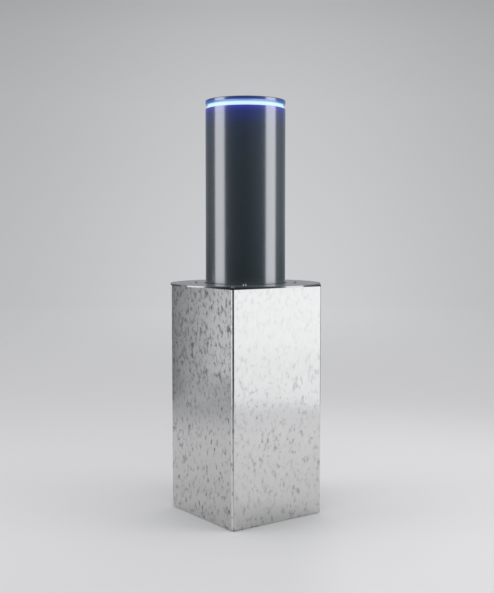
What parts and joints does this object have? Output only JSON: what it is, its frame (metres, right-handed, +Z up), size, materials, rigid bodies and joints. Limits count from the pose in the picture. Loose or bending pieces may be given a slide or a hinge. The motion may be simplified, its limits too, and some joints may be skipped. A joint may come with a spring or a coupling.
{
  "type": "automatic bollard",
  "caption": "Rising traffic bollard with a lit crown, raised on its square galvanised pit casing; a hydraulic ram inside lowers the tube into the casing.",
  "frame": {"origin": "centre of the casing's underside", "axes": "+Z up along the tube's axis; -Y and -X are the casing faces that the picture shows, +Y is the side with the conduit entry"},
  "size_m": [0.519, 0.519, 1.424],
  "materials": {
    "galvanised_sheet": "hot-dip zinc with a fine spangle",
    "galvanised_plate": "dull zinc",
    "stainless": "bright stainless",
    "dark_frame": "gloss dark paint",
    "flange_steel": "satin metallic grey",
    "rubber": "matt",
    "zinc_screws": "bright zinc",
    "anthracite_paint": "gloss anthracite with metallic flake",
    "light": "frosted, lit",
    "lamp_band": "flexible lamp band",
    "turned_aluminium": "turned",
    "cast_aluminium": "sand cast",
    "plain_steel": "oiled",
    "black_paint": "semi-gloss",
    "chromed_rod": "ground hard chrome",
    "guide_plastic": "natural",
    "tank_paint": "semi-gloss grey",
    "knob_plastic": "moulded",
    "box_plastic": "moulded",
    "black_plastic": "moulded"
  },
  "bodies": {
    "casing_body": {"casing": "galvanised_sheet", "base_plate": "galvanised_plate", "guide_rod_1": "chromed_rod", "guide_rod_2": "chromed_rod", "guide_rod_3": "chromed_rod", "guide_rod_4": "chromed_rod", "corner_ledges": "galvanised_plate", "head_plate": "galvanised_plate", "guide_bush": "guide_plastic", "top_frame": "dark_frame", "cover_flange": "flange_steel", "wiper_seal": "rubber", "flange_screws": "stainless", "corner_screws": "stainless", "ram_barrel": "black_paint", "ram_pin": "plain_steel", "ram_gland": "plain_steel", "rod_wiper": "rubber", "stop_buffers": "rubber", "unit_foot": "galvanised_plate", "oil_tank": "tank_paint", "valve_block": "turned_aluminium", "pump_motor": "black_paint", "relief_valve": "zinc_screws", "pipe_fittings": "zinc_screws", "pressure_pipe": "zinc_screws", "junction_box": "box_plastic", "box_lid": "box_plastic", "box_screws": "stainless", "box_glands": "black_plastic", "conduit_gland": "black_plastic", "gland_locknut": "black_plastic", "gland_plug": "knob_plastic", "upper_sensor": "stainless", "lower_sensor": "stainless", "upper_bracket": "galvanised_plate", "lower_bracket": "galvanised_plate", "sensor_nuts": "zinc_screws", "drain_strainer": "stainless"},
    "rising_tube": {"bollard_tube": "anthracite_paint", "cap": "anthracite_paint", "light_ring": "light", "light_strip": "lamp_band", "crown_hub": "turned_aluminium", "tube_head": "plain_steel", "cap_screws": "stainless", "hub_screws": "zinc_screws", "ram_rod": "chromed_rod", "ram_piston": "plain_steel", "piston_seals": "rubber", "rod_nut": "zinc_screws", "foot_ring": "plain_steel", "carriage": "cast_aluminium", "carriage_screws": "zinc_screws", "rod_bush_1": "guide_plastic", "rod_bush_2": "guide_plastic", "rod_bush_3": "guide_plastic", "rod_bush_4": "guide_plastic"},
    "knob": {"release_knob": "knob_plastic"}
  },
  "joints": [
    {"name": "tube_travel", "type": "slide", "parent": "casing_body", "child": "rising_tube", "axis": [0, 0, 1], "range_m": [-0.62, 0]},
    {"name": "release_turn", "type": "hinge", "parent": "casing_body", "child": "knob", "pos_m": [0.1502, 0.097, 0.244], "axis": [0, -1, 0], "range_deg": [0, 180]}
  ]
}
